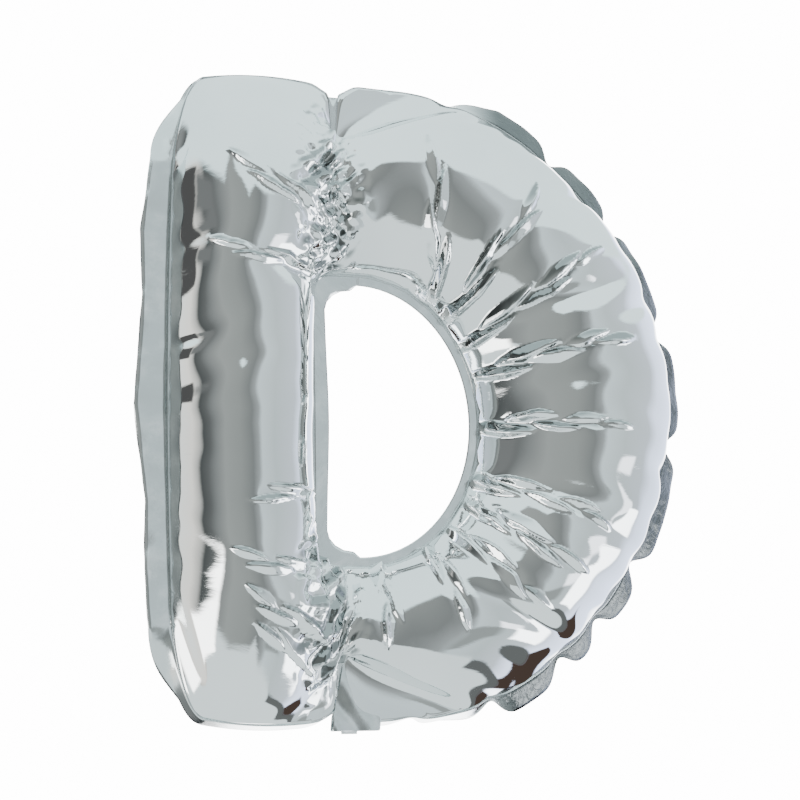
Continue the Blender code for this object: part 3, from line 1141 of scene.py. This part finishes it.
def seam_foil(name, gathers_with_painted_shade=False):
    """Welded margin: two bonded films, duller than the mirror film, and crinkled where it gathers, where it
    is also painted darker as painted shade.
    """
    colours = settings().finish
    material, graph, shader = principled(name, colours.seam, 1.0, 0.2)
    sheet = graph.node("ShaderNodeUVMap", {"uv_map": "pattern"})
    tone = graph.band(graph.noise(sheet, 60.0, 4.0, 0.6), 0.4, 0.75)
    colour = graph.mix(tone, colours.seam, colours.seam_lip)
    crimp = graph.noise(sheet, 260.0, 4.0, 0.6, 0.8)
    if gathers_with_painted_shade:
        # Painted shade: towards the bowl's side the margin is painted dark, while its crinkle relief grows
        # stronger
        place = graph.node("ShaderNodeTexCoord", output="Object")
        gathered_painted_shade = graph.band(graph.node("ShaderNodeSeparateXYZ", {}, [place]), *GATHER_AND_PAINTED_SHADE)
        colour = graph.mix(gathered_painted_shade, colour, colours.gathered_painted_shade)
        crimp = crimp * (0.2 + gathered_painted_shade * 1.8)
    graph.feed(shader.inputs["Base Color"], colour)
    graph.feed(shader.inputs["Roughness"], 0.1 + graph.noise(sheet, 220.0, 4.0, 0.6) * 0.14)
    graph.relief(shader, GATHERED_CRIMP if gathers_with_painted_shade else CRIMP, CRIMP_DEEP, crimp)
    return material


def sleeve_film(name):
    """Milky plastic of the valve sleeve."""
    colours = settings().finish
    material, graph, shader = principled(name, colours.sleeve, 0.0, 0.3)
    place = graph.node("ShaderNodeTexCoord", output="Object")
    cloud = graph.noise(place, 180.0, 4.0, 0.6)
    graph.feed(shader.inputs["Roughness"], 0.22 + cloud * 0.25)
    graph.relief(shader, SLEEVE_CLOUD, CRIMP_DEEP, cloud)
    return material


# Weld bead

BEAD_SIDES = 6
BEAD_SPACING = 1.2 * MM


def bead_tree():
    """Geometry nodes: a thin round bead along a closed line of points."""
    tree = bpy.data.node_groups.new("weld_bead", "GeometryNodeTree")
    rows = (("Geometry", "Geometry"), ("Radius", "Float"), ("Spacing", "Float"), ("Material", "Material"))
    for name, kind in rows:
        tree.interface.new_socket(name, in_out="INPUT", socket_type="NodeSocket" + kind)
    tree.interface.new_socket("Geometry", in_out="OUTPUT", socket_type="NodeSocketGeometry")
    graph = Graph(tree)
    inputs = tree.nodes.new("NodeGroupInput")
    line, radius, spacing, material = (Value(graph, inputs.outputs[index]) for index in range(4))
    path = graph.node("GeometryNodeMeshToCurve", {}, {"Mesh": line})
    even = graph.node("GeometryNodeResampleCurve", {"mode": "LENGTH"}, {"Curve": path, "Length": spacing})
    ring = graph.node("GeometryNodeCurvePrimitiveCircle", {}, {"Resolution": BEAD_SIDES, "Radius": radius})
    bead = graph.node("GeometryNodeCurveToMesh", {}, {"Curve": even, "Profile Curve": ring})
    smooth = graph.node("GeometryNodeSetShadeSmooth", {}, {0: bead})
    real = graph.node("GeometryNodeRealizeInstances", {}, {0: smooth})
    done = graph.node("GeometryNodeSetMaterial", {}, {"Geometry": real, "Material": material})
    outputs = tree.nodes.new("NodeGroupOutput")
    tree.links.new(done.socket, outputs.inputs[0])
    return tree


def socket_names(tree):
    """Identifier of each named input."""
    sockets = (item for item in tree.interface.items_tree if item.item_type == "SOCKET")
    return {socket.name: socket.identifier for socket in sockets if socket.in_out == "INPUT"}


def weld_bead(name, index, tree, material):
    """Bead along one weld, as a plain mesh."""
    points = inflate()["shape"][inflate()["welds"][index][0]]
    mesh = bpy.data.meshes.new(name)
    count = len(points)
    mesh.from_pydata(points.tolist(), [(i, (i + 1) % count) for i in range(count)], [])
    line = new_object(name, mesh)
    modifier = line.modifiers.new("bead", "NODES")
    modifier.node_group = tree
    names = socket_names(tree)
    modifier[names["Radius"]] = settings().film.bead
    modifier[names["Spacing"]] = BEAD_SPACING
    modifier[names["Material"]] = material
    return plain(line, name)


# Filling tail


# Edges of the two tail films, as shares of the tail's box: narrow between the lobes, wide at the foot
TAIL_EDGES = (
    # down, left, right
    (0.00, 0.24, 0.27),
    (0.28, 0.17, 0.33),
    (0.60, 0.08, 0.47),
    (0.72, 0.05, 0.62),
    (0.78, 0.03, 0.97),
    (1.00, 0.00, 0.95),
)
SLEEVE_EDGES = (
    # down, left, right
    (0.00, 0.00, 1.00),
    (1.00, 0.04, 0.97),
)


TAB_CELLS = (14, 30)
TAB_WAVES = 7
# Least and most of each wave's turns across and down, start and size, and the share of it at the root
WAVE_SPANS = ((140, 420), (-260, 260), (0, 6.28), (0.15, 0.5))
ROOT_SHARE = 0.15


def crumpled_sheet(name, node, edges, lean, seed, material):
    """A film tab in the place of a frame node, crumpled towards its free foot."""
    low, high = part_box(node)
    rng = np.random.default_rng(seed)
    across, down = TAB_CELLS
    waves = [[rng.uniform(*span) for span in WAVE_SPANS] for _ in range(TAB_WAVES)]
    places, lefts, rights = np.array(edges).T
    bm = bmesh.new()
    rows = []
    for j in range(down + 1):
        drop = j / down
        left, right = np.interp(drop, places, lefts), np.interp(drop, places, rights)
        row = []
        for i in range(across + 1):
            x = low.x + (high.x - low.x) * (left + (right - left) * i / across)
            z = high.z + (low.z - high.z) * drop
            fold = sum(size * math.sin(kx * x + kz * z + turn) for kx, kz, turn, size in waves)
            y = (low.y + high.y) / 2 + (lean * drop + fold * (ROOT_SHARE + drop)) * MM
            row.append(bm.verts.new((x, y, z)))
        rows.append(row)
    for j in range(down):
        for i in range(across):
            bm.faces.new((rows[j][i], rows[j + 1][i], rows[j + 1][i + 1], rows[j][i + 1]))
    layer = bm.loops.layers.uv.new("pattern")
    for face in bm.faces:
        for loop in face.loops:
            loop[layer].uv = (loop.vert.co.x, loop.vert.co.z)
    mesh = bpy.data.meshes.new(name)
    bm.to_mesh(mesh)
    bm.free()
    mesh.materials.append(material)
    mesh.shade_smooth()
    sheet = new_object(name, mesh)
    smoother = sheet.modifiers.new("smooth", "SUBSURF")
    smoother.levels = smoother.render_levels = 2
    shell = sheet.modifiers.new("shell", "SOLIDIFY")
    shell.thickness = settings().film.thickness
    shell.offset = 0
    return plain(sheet, name)


# Operators


class BALLOON_OT_films(Operator):
    """Make the front and back films"""

    bl_idname = "balloon.films"
    bl_label = "Films"

    def execute(self, context):
        material = silver_foil("mirror_foil")
        for name, part, node in (("front_sheet", FRONT, "front_film"), ("back_sheet", BACK, "back_film")):
            finish_piece(film_piece(name, part, material), "silver_foil", node)
        return {"FINISHED"}


class BALLOON_OT_margins(Operator):
    """Make the welded margins round the letter and in its hole"""

    bl_idname = "balloon.margins"
    bl_label = "Margins"

    def execute(self, context):
        film = settings().film
        rows = (
            ("outer_margin", OUTER, film.margin, "outer_seam"),
            ("hole_margin", HOLE, film.hole_margin, "hole_seam"),
        )
        for name, index, wide, node in rows:
            # The outer margin gathers and gets painted shade on the bowl's side
            material = seam_foil(name + "_foil", index == OUTER)
            finish_piece(margin_piece(name, index, wide, material), "seam_foil", node)
        return {"FINISHED"}


class BALLOON_OT_beads(Operator):
    """Make the melted beads along the two welds"""

    bl_idname = "balloon.beads"
    bl_label = "Weld beads"

    def execute(self, context):
        material = seam_foil("bead_foil")
        tree = bead_tree()
        for name, index in (("outer_bead", OUTER), ("hole_bead", HOLE)):
            finish_piece(weld_bead(name, index, tree, material), "seam_foil")
        return {"FINISHED"}


class BALLOON_OT_tail(Operator):
    """Make the filling tail and its valve sleeve"""

    bl_idname = "balloon.tail"
    bl_label = "Filling tail"

    def execute(self, context):
        foil = seam_foil("tail_foil")
        sleeve = sleeve_film("valve_film")
        rows = (
            # name, node, edges, lean in millimetres, seed, material, slot
            ("tail_sheet_front", "tail_front", TAIL_EDGES, -1.0, 5, foil, "tail_foil"),
            ("tail_sheet_back", "tail_back", TAIL_EDGES, 1.0, 8, foil, "tail_foil"),
            ("sleeve_sheet", "valve_sleeve", SLEEVE_EDGES, 0.0, 11, sleeve, "sleeve_film"),
        )
        for name, node, edges, lean, seed, material, slot in rows:
            finish_piece(crumpled_sheet(name, node, edges, lean, seed, material), slot, node)
        return {"FINISHED"}


# Walls of the room that the film mirrors, by share of a full turn: 0.5 is straight in front of the letter
ROOM_ROUND = (
    (0.00, (0.06, 0.065, 0.07)),
    (0.04, (0.20, 0.21, 0.21)),
    (0.12, (0.42, 0.45, 0.45)),
    (0.15, (1.5, 1.6, 1.6)),
    (0.235, (1.5, 1.45, 1.35)),
    (0.265, (0.75, 0.75, 0.72)),
    (0.28, (0.10, 0.11, 0.11)),
    (0.31, (0.16, 0.17, 0.17)),
    (0.34, (0.30, 0.32, 0.32)),
    (0.38, (0.45, 0.48, 0.47)),
    (0.45, (0.39, 0.42, 0.41)),
    (0.50, (0.27, 0.29, 0.29)),
    (0.525, (0.46, 0.50, 0.51)),
    (0.54, (0.95, 1.10, 1.15)),
    (0.60, (0.80, 0.92, 0.95)),
    (0.70, (0.95, 1.05, 1.15)),
    (0.75, (1.8, 2.0, 2.5)),
    (0.86, (2.3, 2.6, 3.4)),
    (0.91, (9.0, 9.0, 9.0)),
    (0.96, (9.0, 9.0, 9.0)),
    (0.975, (0.06, 0.065, 0.07)),
)
# Height of the floor's edge all round the room: 0 straight down, 0.5 level and 1 straight up
FLOOR_EDGE = (
    (0.00, 0.30),
    (0.24, 0.33),
    (0.30, 0.43),
    (0.35, 0.42),
    (0.40, 0.36),
    (0.475, 0.325),
    (0.49, 0.335),
    (0.52, 0.29),
    (0.60, 0.25),
    (0.63, 0.19),
    (0.75, 0.20),
    (0.90, 0.24),
)
CEILING_EDGE = (
    (0.00, 0.66),
    (0.36, 0.665),
    (0.39, 0.72),
    (0.42, 0.70),
    (0.45, 0.655),
    (0.48, 0.685),
    (0.52, 0.66),
    (0.90, 0.66),
)
FLOOR_TONE = (1.25, 1.41, 1.44)
CEILING_TONE = (1.50, 1.82, 1.87)
# Bright and dark panels: edges by turn, then by height, softness of the edges and colour
PANELS = (
    (0.15, 0.245, 0.570, 0.655, 0.006, (0.10, 0.10, 0.10)),
    (0.245, 0.315, 0.595, 0.645, 0.012, (0.22, 0.23, 0.23)),
    (0.235, 0.345, 0.370, 0.470, 0.008, (6.0, 6.0, 5.9)),
    (0.53, 0.60, 0.315, 0.400, 0.012, (0.42, 0.46, 0.46)),
    (0.595, 0.65, 0.400, 0.475, 0.008, (3.0, 3.1, 3.3)),
    (0.635, 0.72, 0.285, 0.430, 0.008, (6.0, 6.2, 6.4)),
    (0.61, 0.87, 0.190, 0.240, 0.006, (0.16, 0.17, 0.17)),
    (0.77, 0.87, 0.235, 0.330, 0.006, (0.08, 0.055, 0.045)),
)
# Softness of the edges of floor and ceiling, and the backdrop that the camera sees in the room's place
EDGE_SOFT = 0.012
BACKDROP = 15.0


def studio_world():
    """Pale backdrop for the camera, and a room of soft panels and dark gaps for the mirror film."""
    world = bpy.data.worlds.new("studio")
    bpy.context.scene.world = world
    world.use_nodes = True
    tree = world.node_tree
    tree.nodes.clear()
    graph = Graph(tree)
    way = graph.node("ShaderNodeTexCoord", output="Generated")
    parts = graph.node("ShaderNodeSeparateXYZ", {}, [way]).socket.node.outputs
    across, ahead, up = (Value(graph, part) for part in parts)
    turn = graph.node("ShaderNodeMath", {"operation": "ARCTAN2"}, [across, 0 - ahead]) / (2 * math.pi) + 0.5
    height = graph.node("ShaderNodeMath", {"operation": "ARCSINE"}, [up]) / math.pi + 0.5
    tables = (ROOM_ROUND, FLOOR_EDGE, CEILING_EDGE)
    ramps = (graph.node("ShaderNodeValToRGB", {"stops": table}, [turn]) for table in tables)
    walls, low_edge, high_edge = ramps
    room = graph.mix(graph.band(height - low_edge, -EDGE_SOFT, EDGE_SOFT), FLOOR_TONE, walls)
    room = graph.mix(graph.band(height - high_edge, -EDGE_SOFT, EDGE_SOFT), room, CEILING_TONE)
    for left, right, low, high, soft, colour in PANELS:
        lit = graph.window(turn, left, right, soft) * graph.window(height, low, high, soft)
        room = graph.mix(lit, room, colour)
    seen = graph.node("ShaderNodeLightPath", output="Is Camera Ray")
    colour = graph.mix(seen, room, (BACKDROP, BACKDROP, BACKDROP))
    shown = graph.node("ShaderNodeBackground", {}, {"Color": colour, "Strength": 1.0})
    output = tree.nodes.new("ShaderNodeOutputWorld")
    tree.links.new(shown.socket, output.inputs["Surface"])


# Key light: place and size in metres, and power in watts
KEY_PLACE = (1.6, -1.9, 1.2)
KEY_SIZE = (1.2, 1.6)
KEY_POWER = 28.0


def key_light(target):
    """Soft light on the floor and margins, which the film doesn't mirror."""
    light = bpy.data.lights.new("key_panel", "AREA")
    light.shape = "RECTANGLE"
    light.size, light.size_y = KEY_SIZE
    light.energy = KEY_POWER
    lamp = new_object("key_panel", light)
    lamp.location = KEY_PLACE
    lamp.rotation_euler = (target - lamp.location).to_track_quat("-Z", "Y").to_euler()
    lamp.visible_glossy = False


FLOOR_RADIUS = 6.0
FLOOR_SIDES = 96


def floor_disc(drop, middle):
    """Wide pale disc far below the letter: the studio's floor, which the film doesn't mirror."""
    bm = bmesh.new()
    bmesh.ops.create_circle(bm, cap_ends=True, segments=FLOOR_SIDES, radius=FLOOR_RADIUS)
    for vert in bm.verts:
        vert.co += Vector((middle.x, middle.y, middle.z - drop))
    mesh = bpy.data.meshes.new("floor")
    bm.to_mesh(mesh)
    bm.free()
    floor = new_object("floor", mesh)
    material, graph, shader = principled("pale_floor", settings().finish.floor, 0.0, 0.6)
    place = graph.node("ShaderNodeTexCoord", output="Object")
    graph.feed(shader.inputs["Roughness"], 0.55 + graph.noise(place, 3.0, 3.0) * 0.15)
    mesh.materials.append(material)
    floor.visible_glossy = False


def photo_camera(studio, middle):
    """Camera at the photo's angle, turned so that the letter's middle lands on its picture place."""
    data = bpy.data.cameras.new("photo_camera")
    data.sensor_width = SENSOR_WIDE
    data.sensor_fit = "HORIZONTAL"
    data.lens = studio.focal_pixels * SENSOR_WIDE / PHOTO_SIDE
    data.shift_x = -(studio.middle_x - PHOTO_SIDE / 2) / PHOTO_SIDE
    data.shift_y = (studio.middle_y - PHOTO_SIDE / 2) / PHOTO_SIDE
    turn, tilt = math.radians(studio.azimuth), math.radians(studio.elevation)
    way = Vector((-math.sin(turn) * math.cos(tilt), -math.cos(turn) * math.cos(tilt), math.sin(tilt)))
    camera = new_object("photo_camera", data)
    camera.location = middle + way * studio.distance
    aim = (-way).to_track_quat("-Z", "Y").to_matrix()
    camera.rotation_euler = (aim @ Matrix.Rotation(math.radians(studio.roll), 3, "Z")).to_euler()
    bpy.context.scene.camera = camera


class BALLOON_OT_stage(Operator):
    """Set the floor, room, lights and camera"""

    bl_idname = "balloon.stage"
    bl_label = "Stage"

    def execute(self, context):
        studio = settings().studio
        low, high = (Vector(corner) for corner in CAD_BOX)
        middle = (low + high) / 2
        studio_world()
        floor_disc(studio.floor_drop, middle)
        key_light(middle)
        photo_camera(studio, middle)
        return {"FINISHED"}


STEPS = (BALLOON_OT_films, BALLOON_OT_margins, BALLOON_OT_beads, BALLOON_OT_tail, BALLOON_OT_stage)


class BALLOON_PT_build(Panel):
    """Lists the balloon's pieces"""

    bl_idname = "BALLOON_PT_build"
    bl_label = "Letter Foil Balloon"
    bl_space_type = "VIEW_3D"
    bl_region_type = "UI"
    bl_category = "Balloon"

    def draw(self, context):
        for step in STEPS:
            self.layout.operator(step.bl_idname)


GROUPS = (FlatSettings, PuffedSettings, FilmSettings, FinishSettings, StudioSettings, BalloonSettings)
CLASSES = (*GROUPS, *STEPS, BALLOON_PT_build)


def register():
    for made in CLASSES:
        bpy.utils.register_class(made)
    bpy.types.Scene.balloon = PointerProperty(type=BalloonSettings)


def unregister():
    del bpy.types.Scene.balloon
    for made in reversed(CLASSES):
        bpy.utils.unregister_class(made)


def main():
    register()
    for step in STEPS:
        getattr(bpy.ops.balloon, step.bl_idname.split(".")[1])()


if __name__ == "__main__":
    main()
